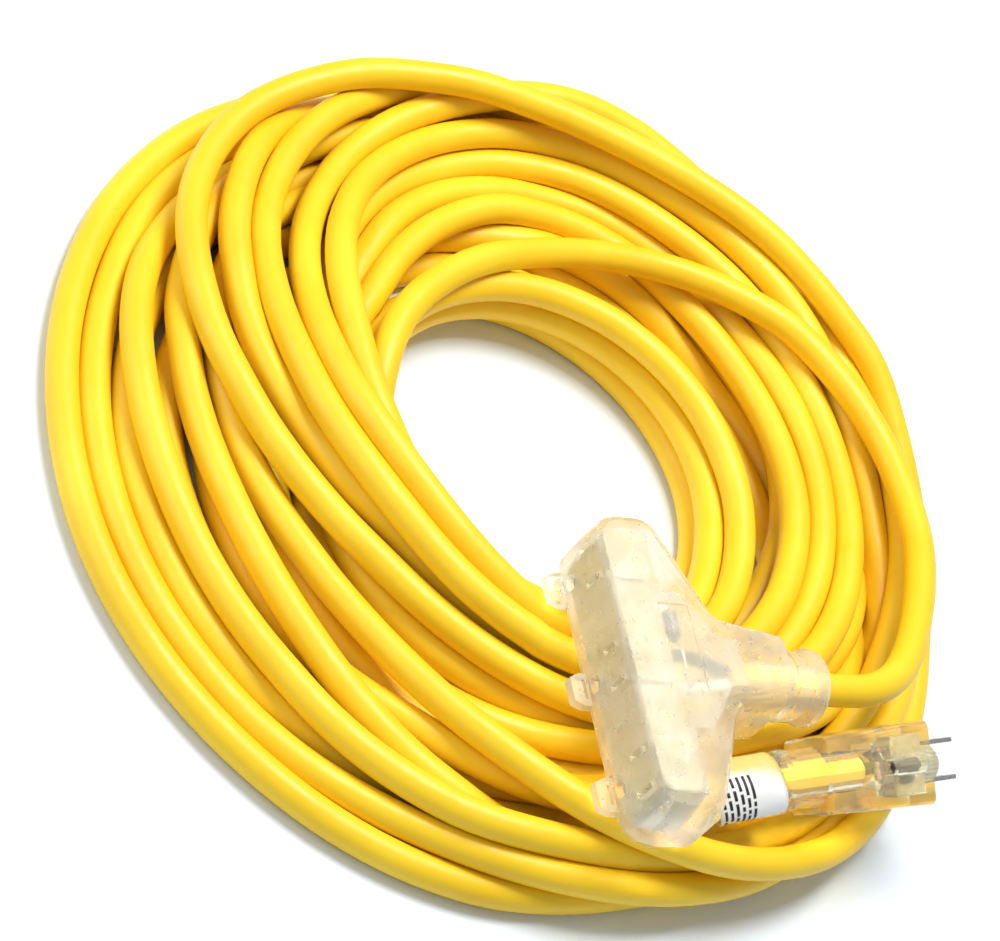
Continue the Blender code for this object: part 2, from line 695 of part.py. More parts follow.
def plug(looks):
    frame = empty("plug", PLUG_AT, (0.0, PLUG_ROLL, PLUG_YAW))
    plug_housing(looks["clear"], frame)
    plug_bridge(looks["insert"], frame)
    plug_blade("plug_line_blade", CONTACT_LINE, looks["steel"], frame)
    plug_blade("plug_neutral_blade", CONTACT_NEUTRAL, looks["steel"], frame)
    ground_pin(looks["steel"], frame)
    ends = (-PLUG_RELIEF_END, -(PLUG_RELIEF_END + PLUG_JACKET_START) / 2, -PLUG_JACKET_START)
    stub = [Vector((0.0, y, PLUG_AXIS_Z)) for y in ends]
    tube("plug_jacket_end", stub, CORD_R, looks["jacket"], frame, 4)
    routes = {
        "line": [(-0.0058, -0.0168, 0.0000), (-0.0054, -0.0188, -0.0004), (-0.0036, -0.0218, -0.0016)],
        "neutral": [(0.0058, -0.0168, 0.0000), (0.0054, -0.0188, -0.0004), (0.0036, -0.0218, -0.0016)],
        "ground": [(0.0000, -0.0168, -0.0110), (0.0000, -0.0190, -0.0104), (0.0000, -0.0218, -0.0084)],
    }
    for kind, route in routes.items():
        conductor("plug", kind, route, looks, frame)
    lamp_at, resistor_at = (0.0, -0.0102, LAMP_RIDGE_Z), (0.0008, -0.0204, 0.0046)
    wires = [
        [(-0.0005, -0.0166, 0.0074), (-0.0020, -0.0178, 0.0060), (-0.0050, -0.0180, 0.0042),
         (-0.0062, -0.0158, 0.0030)],
        [(0.0008, -0.0166, 0.0074), (0.0028, -0.0176, 0.0058), (0.0052, -0.0190, 0.0048),
         (0.0043, -0.0204, 0.0046)],
    ]
    lamp_circuit("plug", lamp_at, 0.0, resistor_at, wires, looks, frame)


def main():
    for old in list(bpy.data.objects):
        bpy.data.objects.remove(old, do_unlink=True)
    looks = {
        "jacket": material("jacket_yellow", (0.90, 0.62, 0.02), 0.42),
        "clear": material("clear_pvc", (0.86, 0.82, 0.70), 0.15, alpha=0.35),
        "insert": material("milky_insert", (0.90, 0.88, 0.80), 0.30, alpha=0.60),
        "brass": material("spring_brass", (0.72, 0.55, 0.27), 0.30, 1.0),
        "steel": material("plated_steel", (0.55, 0.55, 0.54), 0.28, 1.0),
        "copper": material("bare_copper", (0.80, 0.42, 0.25), 0.35, 1.0),
        "line": material("black_insulation", (0.02, 0.02, 0.02), 0.45),
        "neutral": material("white_insulation", (0.85, 0.85, 0.83), 0.45),
        "ground": material("green_insulation", (0.03, 0.25, 0.09), 0.45),
        "lamp": material("lamp_glass", (0.75, 0.80, 0.78), 0.08, alpha=0.50),
        "resistor": material("resistor_body", (0.10, 0.35, 0.40), 0.50),
        "label": material("label_white", (0.92, 0.92, 0.90), 0.35),
    }
    coil(looks["jacket"])
    lead = smooth_route(CONNECTOR_LEAD_ROUTE, CONNECTOR_LEAD_POINTS)
    tube("cord_connector_lead", lead, CORD_R, looks["jacket"])
    tube("cord_plug_lead", smooth_route(PLUG_LEAD_ROUTE, PLUG_LEAD_POINTS), CORD_R, looks["jacket"])
    label_sleeve(looks["label"])
    connector(looks)
    plug(looks)


main()
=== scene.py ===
"""The finished look of a coiled three-outlet extension cord, built around its CAD model.

Lengths are in metres. The cord is one free curve: its winding is drawn turn by turn below,
then it settles under its own weight on the floor and on itself.
"""

import math

import bmesh
import bpy
import numpy as np
from mathutils import Matrix, Vector


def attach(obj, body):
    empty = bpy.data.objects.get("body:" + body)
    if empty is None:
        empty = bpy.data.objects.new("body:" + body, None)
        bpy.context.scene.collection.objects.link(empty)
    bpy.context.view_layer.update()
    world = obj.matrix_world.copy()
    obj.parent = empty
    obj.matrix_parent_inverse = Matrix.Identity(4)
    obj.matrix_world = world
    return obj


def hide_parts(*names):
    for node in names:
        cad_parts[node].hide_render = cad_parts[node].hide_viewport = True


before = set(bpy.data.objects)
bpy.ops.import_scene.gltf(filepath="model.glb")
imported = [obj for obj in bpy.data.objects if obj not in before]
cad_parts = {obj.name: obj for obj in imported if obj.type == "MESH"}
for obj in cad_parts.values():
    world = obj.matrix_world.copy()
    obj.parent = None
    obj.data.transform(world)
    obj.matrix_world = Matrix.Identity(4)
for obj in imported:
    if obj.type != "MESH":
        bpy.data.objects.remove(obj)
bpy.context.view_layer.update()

MM = 0.001

# ---------------------------------------------------------------- camera

CAMERA_AT = (0.5158, -0.5125, 0.7251)
CAMERA_AIM = (0.0115, -0.0169, 0.0180)
CAMERA_ROLL = math.radians(41.3)
CAMERA_LENS = 104.4
CAMERA_SHIFT = (0.0030, 0.0175)

# ---------------------------------------------------------------- the cord

CORD_R = 0.00565
CORD_FACETS = 6

# The stretches that aren't coiled, as the CAD part has them. The plug's starts one point earlier,
# where the cord leaves the winding.
CONNECTOR_LEAD = (
    (0.1050, 0.0640, 0.0550),
    (0.1050, 0.0760, 0.0551),
    (0.1030, 0.0900, 0.0540),
    (0.0960, 0.1035, 0.0518),
    (0.0840, 0.1155, 0.0490),
    (0.0680, 0.1265, 0.0462),
    (0.0500, 0.1360, 0.0440),
    (0.0310, 0.1430, 0.0420),
    (0.0120, 0.1470, 0.0395),
)
PLUG_LEAD = (
    (0.1390, 0.0040, 0.0306),
    (0.1383, 0.0205, 0.0347),
    (0.1372, 0.0260, 0.0370),
    (0.1360, 0.0330, 0.0390),
    (0.1347, 0.0410, 0.0402),
    (0.1332, 0.0493, 0.0404),
)

# The winding, turn by turn from the connector. Each turn has its layer in the heap at four quarters,
# and its radius in millimetres at twelve even steps.
COIL_CENTRE = (0.0014, 0.0043)
COIL_START = math.radians(30.5)
COIL_OUTER = 0.1775
STEPS_PER_TURN = 12
FINE_STEPS = 10
RADIUS_BLUR = 30
HOLE_RADIUS = 0.0695
HOLE_STRETCH = 0.0045
HOLE_STRETCH_AT = math.radians(175.5)
TURNS = (
    ((20, 20, 16, 9), (136, 141, 145, 137, 109, 82, 76, 74, 72, 68, 67, 68)),
    ((8, 8, 6, 4), (70, 69, 70, 73, 75, 76, 75, 74, 76, 80, 82, 84)),
    ((7, 7, 9, 17.5), (88, 98, 110, 122, 132, 138, 138, 132, 120, 106, 124, 156)),
    ((18, 16.5, 18, 20), (166, 165, 167, 154, 148, 153, 173, 151, 112, 94, 94, 108)),
    ((15, 14, 13, 8), (114, 118, 124, 132, 138, 142, 118, 88, 82, 84, 88, 92)),
    ((6, 6, 8, 14), (100, 112, 124, 136, 146, 152, 157, 148, 130, 126, 145, 155)),
    ((14, 15, 18, 19), (141, 140, 146, 160, 171, 162, 135, 100, 80, 74, 76, 84)),
    ((13, 11, 8, 7), (84, 80, 78, 78, 78, 77, 75, 74, 76, 90, 94, 98)),
    ((5, 5, 7, 13), (106, 118, 130, 140, 150, 156, 161, 162, 150, 145, 156, 158)),
    ((12, 10, 15, 17), (152, 148, 148, 152, 158, 166, 158, 121, 91, 80, 84, 95)),
    ((14, 13, 11, 6), (98, 101, 106, 114, 122, 114, 98, 82, 86, 98, 102, 106)),
    ((4, 4, 6, 12), (114, 126, 138, 148, 155, 160, 163, 166, 165, 166, 164, 158)),
    ((11, 9, 14, 16), (153, 150, 150, 152, 156, 162, 160, 133, 88, 82, 78, 96)),
    ((14.5, 14, 12, 5), (106, 110, 118, 132, 142, 132, 106, 80, 88, 104, 108, 112)),
    ((3, 3, 5, 11), (122, 134, 144, 152, 158, 163, 170, 174, 176, 174, 168, 158)),
    ((10, 15, 16, 18), (154, 145, 144, 150, 153, 152, 124, 90, 75, 62, 61, 66)),
    ((6, 5, 4, 3), (68, 69, 73, 77, 79, 82, 82, 76, 73, 74, 78, 80)),
    ((3, 3, 2, 2), (80, 80, 83, 88, 96, 101, 101, 100, 104, 112, 117, 118)),
    ((1, 1, 1, 1), (126, 130, 134, 136, 137, 138, 143, 152, 156, 155, 144, 128)),
    ((1, 1, 1, 1), (118, 112, 106, 103, 106, 112, 121, 137, 142, 140, 133, 126)),
    ((1.5, 1.5, 3, 12), (121, 118, 115, 114, 112, 110, 107, 115, 128, 131, 131, 139)),
)
LEAD_LEVEL = 20
TAIL_LEVEL = 19
LEVEL_RISE = 0.0063
LEVEL_CLEAR = 0.0020
# The winding takes over this far round from the connector's lead, and leaves its last points to
# the plug's.
JOIN_TURN = math.radians(9)
JOIN_CUT = 3
# Steps from each point of a lead to the next, for its plan and for its true line.
LEAD_STEPS = 4
LEAD_FINE_STEPS = 12

# How the winding settles.
STEP = 0.0063
ROUNDS = 500
SQUEEZE_ROUNDS = 150
SQUEEZE = 0.988
GRAVITY = 0.0002
HOME_PULL = 0.08
BEND_REACHES = (1, 2, 3, 4, 5)
BEND_SHARE = 0.9 / 16
CONTACT_PASSES = 3
CONTACT_GAIN = 1.8
CONTACT_BLUR = 2
EDGE_PULL = 0.3
SELF_SKIP = 5
SEARCH_REACH = 0.0163
SEARCH_EVERY = 10
LEAD_PINS = 22
LEAD_EASE = 10
TAIL_PINS = 7
PLAN_BLUR = 40
PLAN_EASE = 10
PLAN_EASE_REACH = 20
LID_DROP = 0.100
LID_FADE = 0.965
NO_LID = 1.0
TINY = 1e-9

# What rests on the heap: flat undersides (plan corners and height), and round ones (axis and radius).
FLAT_LIDS = (
    ((0.0515, -0.0236), (0.1585, 0.0120), 0.0395),
    ((0.0750, 0.0120), (0.1350, 0.0200), 0.0395),
    ((0.0910, 0.0200), (0.1190, 0.0637), 0.0410),
)
ROUND_LIDS = (
    ((0.1332, 0.0493, 0.0404), (0.1246, 0.1070, 0.0440), 0.0150),
    ((0.1246, 0.1070, 0.0440), (0.1210, 0.1240, 0.0450), 0.0095),
    ((0.1372, 0.0260, 0.0368), (0.1332, 0.0493, 0.0404), 0.0088),
)
LID_GAP = 0.0006

# ---------------------------------------------------------------- the label on the plug's lead

LABEL_Y = (0.0238, 0.0488)
LABEL_HALF = (0.0110, 0.0064)
LABEL_SKIN = 0.00025
LABEL_WAVE = 0.00025
LABEL_WAVES_ROUND = 3
LABEL_WAVES_ALONG = 210
LABEL_ROWS = 15
LABEL_COLUMNS = 56
LABEL_THIN_X = (0.1300, 0.1375)
LABEL_BLOTCH = 0.15
PRINT_Y = 0.0262
PRINT_PITCH = 0.0020
PRINT_HALF = 0.00045
PRINT_LIFT = 0.00004
PRINT_SKIN = 0.00006
PRINT_TURN = math.radians(98)
PRINT_UNIT = math.radians(9)
PRINT_GAP = 0.6
# The lengths of the printed bars in units, row by row from the connector's side.
PRINT_ROWS = (
    (4, 1, 3, 2),
    (2, 1, 2, 3),
    (2, 2, 3, 2),
    (3, 2, 1, 4),
    (4, 2, 1, 2, 1),
    (5, 1, 3, 2),
)

# ---------------------------------------------------------------- the studio

FLOOR_HALF = 3.0
FLOOR_COLOUR = (0.82, 0.89, 0.97, 1.0)
SKY_COLOUR = (0.94, 0.97, 1.0, 1.0)
SKY_STRENGTH = 0.36
# Each lamp's place, its width and its power in watts. They all aim at the origin.
LAMPS = {
    "key": ((-0.25, 0.15, 1.15), 0.55, 14.2),
    "fill": ((-0.30, -0.95, 0.60), 0.9, 5.0),
}


def catmull(points, steps):
    """A smooth line through the points, with that many steps from each to the next."""
    points = np.asarray(points, float)
    padded = np.vstack([2 * points[0] - points[1], points, 2 * points[-1] - points[-2]])
    t = (np.arange(steps) / steps)[:, None]
    line = []
    for a, b, c, d in zip(padded[:-3], padded[1:-2], padded[2:-1], padded[3:]):
        curved = (2 * a - 5 * b + 4 * c - d) * t**2
        line.append((2 * b + (c - a) * t + curved + (3 * b - a - 3 * c + d) * t**3) / 2)
    return np.vstack([*line, points[-1:]])


def blur(values, passes):
    """Evens out a row of values, whose two ends stay."""
    for _ in range(passes):
        middle = (values[:-2] + 2 * values[1:-1] + values[2:]) / 4
        values = np.concatenate([values[:1], middle, values[-1:]])
    return values


def along(points):
    """The distance along a line of points to each of them."""
    return np.concatenate([[0], np.cumsum(np.linalg.norm(np.diff(points, axis=0), axis=1))])


def at_distances(points, distances):
    """The points at these distances along a line, with whatever columns follow x, y and z."""
    places = along(points[:, :3])
    return np.stack([np.interp(distances, places, column) for column in points.T], 1)


def hole_radius(angle):
    """The least radius of the winding, whose hole is a little off centre."""
    return HOLE_RADIUS + HOLE_STRETCH * np.cos(angle - HOLE_STRETCH_AT)


def drawn_winding():
    """The cord's plan from connector to plug as x, y and layer."""
    levels = []
    radii = []
    for number, (quarters, turn_radii) in enumerate(TURNS):
        after = TURNS[number + 1][0][0] if number + 1 < len(TURNS) else TAIL_LEVEL
        corners = (*quarters, after)
        radii.extend(turn_radii)
        steps = np.arange(STEPS_PER_TURN) * len(quarters) / STEPS_PER_TURN
        levels.extend(np.interp(steps, range(len(corners)), corners))
    radius = catmull(np.array(radii)[:, None] * MM, FINE_STEPS)[:, 0]
    level = np.interp(np.arange(len(radius)) / FINE_STEPS, range(len(levels)), levels)
    angle = COIL_START + math.tau / STEPS_PER_TURN / FINE_STEPS * np.arange(len(radius))
    radius = blur(np.maximum(radius, hole_radius(angle)), RADIUS_BLUR)
    coil = np.stack(
        [
            COIL_CENTRE[0] + radius * np.cos(angle),
            COIL_CENTRE[1] + radius * np.sin(angle),
            level,
        ],
        1,
    )
    lead = catmull(CONNECTOR_LEAD, LEAD_STEPS)
    tail = catmull(PLUG_LEAD, LEAD_STEPS)
    lead_end = math.atan2(lead[-1, 1] - COIL_CENTRE[1], lead[-1, 0] - COIL_CENTRE[0])
    joined = angle > lead_end + JOIN_TURN
    joined[-JOIN_CUT:] = False
    lead[:, 2] = LEAD_LEVEL
    tail[:, 2] = TAIL_LEVEL
    return np.vstack([lead, coil[joined], tail])


def lid_height(points):
    """The highest that the cord's middle may be at each point, under what rests on the heap."""
    highest = np.full(len(points), NO_LID)
    plan = points[:, :2]
    reach = CORD_R + LID_GAP
    for low, high, underside in FLAT_LIDS:
        outside = np.maximum(np.maximum(np.array(low) - plan, plan - np.array(high)), 0)
        room = reach**2 - (outside**2).sum(1)
        limit = underside - np.sqrt(np.clip(room, 0, None))
        highest = np.where(room > 0, np.minimum(highest, limit), highest)
    for base, tip, radius in ROUND_LIDS:
        base = np.array(base)
        axis = np.array(tip) - base
        share = np.clip((plan - base[:2]) @ axis[:2] / (axis[:2] @ axis[:2]), 0, 1)
        nearest = base + share[:, None] * axis
        room = (radius + CORD_R) ** 2 - ((plan - nearest[:, :2]) ** 2).sum(1)
        limit = nearest[:, 2] - np.sqrt(np.clip(room, 0, None))
        highest = np.where(room > 0, np.minimum(highest, limit), highest)
    return highest


def close_pairs(points):
    """Pairs of points near each other that aren't neighbours along the cord."""
    points = points.astype(np.float32)
    squares = (points**2).sum(1)
    gaps = squares[:, None] + squares[None] - 2 * (points @ points.T)
    first, second = np.nonzero(gaps < SEARCH_REACH**2)
    apart = second > first + SELF_SKIP
    return first[apart], second[apart]


def stiffen(points, home):
    """Evens out how far the cord has been pushed from its drawn plan, which is what its stiffness does."""
    for reach in BEND_REACHES:
        moved = points - home
        bend = np.zeros_like(moved)
        bend[reach:-reach] = moved[2 * reach :] - 2 * moved[reach:-reach] + moved[: -2 * reach]
        change = np.zeros_like(moved)
        change[reach:-reach] = bend[2 * reach :] - 2 * bend[reach:-reach] + bend[: -2 * reach]
        points = points - change * BEND_SHARE
    return points


def settle(rounds):
    """The cord's middle line after it has come to rest, a point every STEP."""
    drawn = drawn_winding()
    flat = np.column_stack([drawn[:, :2], np.zeros(len(drawn)), drawn[:, 2]])
    total = along(flat[:, :3])[-1]
    count = int(round(total / STEP)) + 1
    flat = at_distances(flat, np.linspace(0, total, count))
    from_end = np.minimum(np.arange(count), np.arange(count)[::-1])
    ease = np.clip((from_end - PLAN_EASE) / PLAN_EASE_REACH, 0, 1)[:, None]
    home = flat[:, :3] + ease * (blur(flat[:, :3], PLAN_BLUR) - flat[:, :3])
    points = home.copy()
    points[:, 2] = CORD_R + LEVEL_RISE * (flat[:, 3] - 1) + LEVEL_CLEAR

    lead = catmull(CONNECTOR_LEAD, LEAD_FINE_STEPS)
    tail = catmull(PLUG_LEAD, LEAD_FINE_STEPS)
    tail_length = along(tail)[-1]
    points[:LEAD_PINS] = at_distances(lead, np.arange(LEAD_PINS) * STEP)
    points[-TAIL_PINS:] = at_distances(tail, tail_length - np.arange(TAIL_PINS)[::-1] * STEP)
    held_at = points.copy()
    grip = np.zeros((count, 1))
    grip[:LEAD_PINS, 0] = np.clip(np.arange(LEAD_PINS, 0, -1) / LEAD_EASE, 0, 1)
    grip[-TAIL_PINS:] = 1
    free = slice(LEAD_PINS, -TAIL_PINS)

    for number in range(rounds):
        if number % SEARCH_EVERY == 0:
            first, second = close_pairs(points)
        if number < min(SQUEEZE_ROUNDS, rounds):
            points[:, 2] = CORD_R + (points[:, 2] - CORD_R) * SQUEEZE
        else:
            points[:, 2] -= GRAVITY
        points[:, :2] += HOME_PULL * (home[:, :2] - points[:, :2])
        points = stiffen(points, home)
        lid_offset = LID_DROP * LID_FADE**number
        for _ in range(CONTACT_PASSES):
            apart = points[second] - points[first]
            gap = np.linalg.norm(apart, axis=1) + TINY
            hit = gap < 2 * CORD_R
            one, other = first[hit], second[hit]
            push = apart[hit] / gap[hit, None] * (CORD_R - gap[hit] / 2)[:, None]
            touches = np.bincount(one, minlength=count) + np.bincount(other, minlength=count)
            move = np.stack(
                [
                    np.bincount(other, push[:, axis], count) - np.bincount(one, push[:, axis], count)
                    for axis in range(3)
                ],
                1,
            )
            points += blur(move / np.maximum(touches, 1)[:, None], CONTACT_BLUR) * CONTACT_GAIN
            points[:, 2] = np.maximum(points[:, 2], CORD_R)
            points[free, 2] = np.minimum(points[free, 2], lid_height(points[free]) + lid_offset)
            spoke = points[:, :2] - COIL_CENTRE
            radius = np.linalg.norm(spoke, axis=1)
            least = hole_radius(np.arctan2(spoke[:, 1], spoke[:, 0]))
            wanted = np.clip(radius, least, COIL_OUTER)
            points[:, :2] += EDGE_PULL * spoke * (wanted / radius - 1)[:, None]
            points += grip * (held_at - points)
    return points


# ---------------------------------------------------------------- looks

# Where a noise pattern's values mostly lie.
NOISE_SPAN = (0.3, 0.7)
BRUSHED = (1.0, 0.15, 1.0)
ROUGHNESS_SPREAD = 0.08


def blank_look(name, **sockets):
    """A new material, and its tree, whose shader has these values on its own sockets."""
    look = bpy.data.materials.new(name)
    look.use_nodes = True
    tree = look.node_tree
    shader = tree.nodes["Principled BSDF"]
    for socket, value in sockets.items():
        shader.inputs[socket.replace("_", " ")].default_value = value
    return look, tree


def place(tree, stretch=(1.0, 1.0, 1.0)):
    """Where a point of the surface is, in metres, with each axis times its own factor."""
    where = tree.nodes.new("ShaderNodeTexCoord")
    scaled = tree.nodes.new("ShaderNodeMapping")
    scaled.inputs["Scale"].default_value = stretch
    tree.links.new(where.outputs["Object"], scaled.inputs["Vector"])
    return scaled.outputs["Vector"]


def noise(tree, size, detail=2.0, roughness=0.5, stretch=(1.0, 1.0, 1.0)):
    """Soft random patches of about that size in metres, from 0 to 1."""
    texture = tree.nodes.new("ShaderNodeTexNoise")
    texture.inputs["Scale"].default_value = 1 / size
    texture.inputs["Detail"].default_value = detail
    texture.inputs["Roughness"].default_value = roughness
    tree.links.new(place(tree, stretch), texture.inputs["Vector"])
    return texture.outputs["Fac"]


def shades(tree, amount, *stops):
    """Colours along an amount: each stop is a place from 0 to 1 and a colour."""
    ramp = tree.nodes.new("ShaderNodeValToRGB")
    marks = ramp.color_ramp.elements
    while len(marks) < len(stops):
        marks.new(0.5)
    for mark, (at, colour) in zip(marks, stops):
        mark.position = at
        mark.color = (*colour, 1.0)
    tree.links.new(amount, ramp.inputs["Fac"])
    return ramp.outputs["Color"]


def span(tree, amount, low, high):
    """Turns a noise amount into one from low to high."""
    scale = tree.nodes.new("ShaderNodeMapRange")
    scale.inputs["From Min"].default_value = NOISE_SPAN[0]
    scale.inputs["From Max"].default_value = NOISE_SPAN[1]
    scale.inputs["To Min"].default_value = low
    scale.inputs["To Max"].default_value = high
    tree.links.new(amount, scale.inputs["Value"])
    return scale.outputs["Result"]


def paint(tree, colour, roughness):
    """Gives the shader its patterns of colour and roughness."""
    shader = tree.nodes["Principled BSDF"]
    tree.links.new(colour, shader.inputs["Base Color"])
    tree.links.new(roughness, shader.inputs["Roughness"])


def relief(tree, *layers):
    """Bumps: each layer is an amount and its height in metres."""
    normal = None
    for amount, height in layers:
        bump = tree.nodes.new("ShaderNodeBump")
        bump.inputs["Distance"].default_value = height
        tree.links.new(amount, bump.inputs["Height"])
        if normal is not None:
            tree.links.new(normal, bump.inputs["Normal"])
        normal = bump.outputs["Normal"]
    tree.links.new(normal, tree.nodes["Principled BSDF"].inputs["Normal"])


def jacket_look():
    """Extruded yellow vinyl: satin, a little uneven along its length, with a fine grain."""
    look, tree = blank_look("jacket_yellow", Specular_IOR_Level=0.45)
    patches = noise(tree, 0.045, detail=3.0)
    paint(
        tree,
        colour=shades(
            tree,
            patches,
            (0.30, (0.895, 0.560, 0.010)),
            (0.55, (0.940, 0.620, 0.016)),
            (0.75, (0.970, 0.670, 0.026)),
        ),
        roughness=span(tree, noise(tree, 0.009, detail=3.0), 0.38, 0.52),
    )
    relief(tree, (noise(tree, 0.0070, detail=1.0), 0.00018), (noise(tree, 0.0005, detail=2.0), 0.000018))
    return look


def let_lamps_through(tree, tint):
    """Lets lamp light in through a clear material, less what its tint takes."""
    shader = tree.nodes["Principled BSDF"]
    ray = tree.nodes.new("ShaderNodeLightPath")
    open_way = tree.nodes.new("ShaderNodeBsdfTransparent")
    open_way.inputs["Color"].default_value = (*tint, 1.0)
    either = tree.nodes.new("ShaderNodeMixShader")
    tree.links.new(ray.outputs["Is Shadow Ray"], either.inputs["Fac"])
    tree.links.new(shader.outputs["BSDF"], either.inputs[1])
    tree.links.new(open_way.outputs["BSDF"], either.inputs[2])
    tree.links.new(either.outputs["Shader"], tree.nodes["Material Output"].inputs["Surface"])


def clear_look(name, clarity, cloudy, bright, roughness):
    """Clear moulding vinyl, slightly cloudy and warm, with flow marks."""
    look, tree = blank_look(
        name,
        Transmission_Weight=clarity,
        IOR=1.16,
        Coat_Weight=0.7,
        Coat_Roughness=0.12,
        Coat_IOR=1.5,
    )
    paint(
        tree,
        colour=shades(tree, noise(tree, 0.010, detail=3.0), (0.30, cloudy), (0.70, bright)),
        roughness=span(tree, noise(tree, 0.004, detail=3.0), *roughness),
    )
    relief(tree, (noise(tree, 0.0060, detail=2.0), 0.00012), (noise(tree, 0.0013, detail=2.0), 0.00001))
    let_lamps_through(tree, (0.93, 0.91, 0.85))
    return look


def milky_look():
    """The pre-moulded outlet block: cloudy, bubbly and nearly white."""
    look, tree = blank_look("milky_insert", Transmission_Weight=0.45, IOR=1.20)
    cloud = noise(tree, 0.0045, detail=4.0, roughness=0.6)
    paint(
        tree,
        colour=shades(
            tree,
            cloud,
            (0.30, (0.50, 0.43, 0.27)),
            (0.50, (0.62, 0.57, 0.42)),
            (0.70, (0.78, 0.74, 0.61)),
        ),
        roughness=span(tree, noise(tree, 0.003), 0.25, 0.50),
    )
    relief(tree, (noise(tree, 0.0035, detail=3.0), 0.00025))
    let_lamps_through(tree, (0.80, 0.79, 0.74))
    return look


def metal_look(name, dark, light, grain):
    """Bare metal with fine streaks along Y that are about as wide as its grain."""
    look, tree = blank_look(name, Metallic=1.0)
    streaks = noise(tree, grain, detail=4.0, roughness=0.7, stretch=BRUSHED)
    paint(
        tree,
        colour=shades(tree, noise(tree, 0.004, detail=4.0), (0.30, dark), (0.70, light)),
        roughness=span(tree, streaks, 0.18, 0.42),
    )
    relief(tree, (streaks, 0.00002))
    return look


def plastic_look(name, dark, light, roughness=0.4):
    """A small moulded or extruded piece, mottled between two colours."""
    look, tree = blank_look(name)
    paint(
        tree,
        colour=shades(tree, noise(tree, 0.003, detail=3.0), (0.30, dark), (0.70, light)),
        roughness=span(
            tree,
            noise(tree, 0.002),
            roughness - ROUGHNESS_SPREAD,
            roughness + ROUGHNESS_SPREAD,
        ),
    )
    relief(tree, (noise(tree, 0.0006, detail=2.0), 0.00002))
    return look


def label_look():
    """White label film, thin enough on the side of the coil's middle for the yellow to show through."""
    look, tree = blank_look("label_white", Coat_Weight=0.3, Coat_Roughness=0.2)
    where = tree.nodes.new("ShaderNodeSeparateXYZ")
    tree.links.new(place(tree), where.inputs["Vector"])
    across = tree.nodes.new("ShaderNodeMapRange")
    across.inputs["From Min"].default_value = LABEL_THIN_X[0]
    across.inputs["From Max"].default_value = LABEL_THIN_X[1]
    tree.links.new(where.outputs["X"], across.inputs["Value"])
    blotches = tree.nodes.new("ShaderNodeMath")
    blotches.operation = "ADD"
    tree.links.new(across.outputs["Result"], blotches.inputs[0])
    patches = span(tree, noise(tree, 0.006, detail=4.0), -LABEL_BLOTCH, LABEL_BLOTCH)
    tree.links.new(patches, blotches.inputs[1])
    paint(
        tree,
        colour=shades(
            tree,
            blotches.outputs["Value"],
            (0.10, (0.78, 0.62, 0.20)),
            (0.50, (0.82, 0.78, 0.62)),
            (0.80, (0.83, 0.83, 0.81)),
        ),
        roughness=span(tree, noise(tree, 0.003), 0.25, 0.45),
    )
    relief(tree, (noise(tree, 0.005, detail=2.0), 0.00025))
    return look


LOOKS = {
    "jacket_yellow": jacket_look(),
    "clear_pvc": clear_look("clear_pvc", 0.76, (0.840, 0.800, 0.650), (0.940, 0.925, 0.850), (0.22, 0.44)),
    "milky_insert": milky_look(),
    "spring_brass": metal_look("spring_brass", (0.62, 0.40, 0.13), (0.85, 0.63, 0.27), 0.0004),
    "plated_steel": metal_look("plated_steel", (0.52, 0.51, 0.48), (0.78, 0.77, 0.74), 0.0004),
    "bare_copper": metal_look("bare_copper", (0.70, 0.28, 0.12), (0.92, 0.45, 0.24), 0.0003),
    "black_insulation": plastic_look("black_insulation", (0.010, 0.010, 0.011), (0.030, 0.030, 0.032)),
    "white_insulation": plastic_look("white_insulation", (0.74, 0.73, 0.69), (0.90, 0.89, 0.86)),
    "green_insulation": plastic_look("green_insulation", (0.010, 0.130, 0.070), (0.020, 0.230, 0.130)),
    "lamp_glass": plastic_look("lamp_glass", (0.035, 0.030, 0.030), (0.120, 0.100, 0.090), 0.2),
    "resistor_body": plastic_look("resistor_body", (0.30, 0.20, 0.10), (0.55, 0.40, 0.22)),
    "label_white": label_look(),
}
PLUG_CLEAR = clear_look("clear_plug", 0.91, (0.930, 0.850, 0.560), (0.985, 0.955, 0.820), (0.08, 0.22))


def dress_frame():
    """Gives every CAD node that stays the finish of its material slot. The plug is moulded clearer."""
    for name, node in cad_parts.items():
        for holder in node.material_slots:
            slot = holder.material.name.split(".")[0]
            holder.material = PLUG_CLEAR if name == "plug_housing" else LOOKS[slot]


# ---------------------------------------------------------------- pieces


def put(name, data, slot):
    """Adds an object to the model: it rides on the only body and takes its finish from that slot."""
    piece = bpy.data.objects.new(name, data)
    bpy.context.scene.collection.objects.link(piece)
    if not data.materials:
        data.materials.append(LOOKS[slot])
    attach(piece, "root")
    return piece


def cord_piece(points):
    """The whole cord as one round tube along its settled middle line."""
    curve = bpy.data.curves.new("extension_cord", "CURVE")
    curve.dimensions = "3D"
    curve.bevel_depth = CORD_R
    curve.bevel_resolution = CORD_FACETS
    curve.use_fill_caps = True
    line = curve.splines.new("POLY")
    line.points.add(len(points) - 1)
    for spot, at in zip(line.points, points):
        spot.co = (*at, 1.0)
    line.use_smooth = True
    piece = put("extension_cord", curve, "jacket_yellow")
    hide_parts("cord_coil", "cord_connector_lead", "cord_plug_lead")
    return piece


def label_frame(y):
    """The cord's middle at this Y, and the label's two directions across it there."""
    lead = catmull(PLUG_LEAD, LEAD_FINE_STEPS)
    middle = np.array([np.interp(y, lead[:, 1], lead[:, axis]) for axis in range(3)])
    ahead = np.array([np.interp(y + MM, lead[:, 1], lead[:, axis]) for axis in range(3)])
    run = ahead - middle
    side = np.cross(run, (0.0, 0.0, 1.0))
    side /= np.linalg.norm(side)
    up = np.cross(side, run)
    return middle, side, up / np.linalg.norm(up)


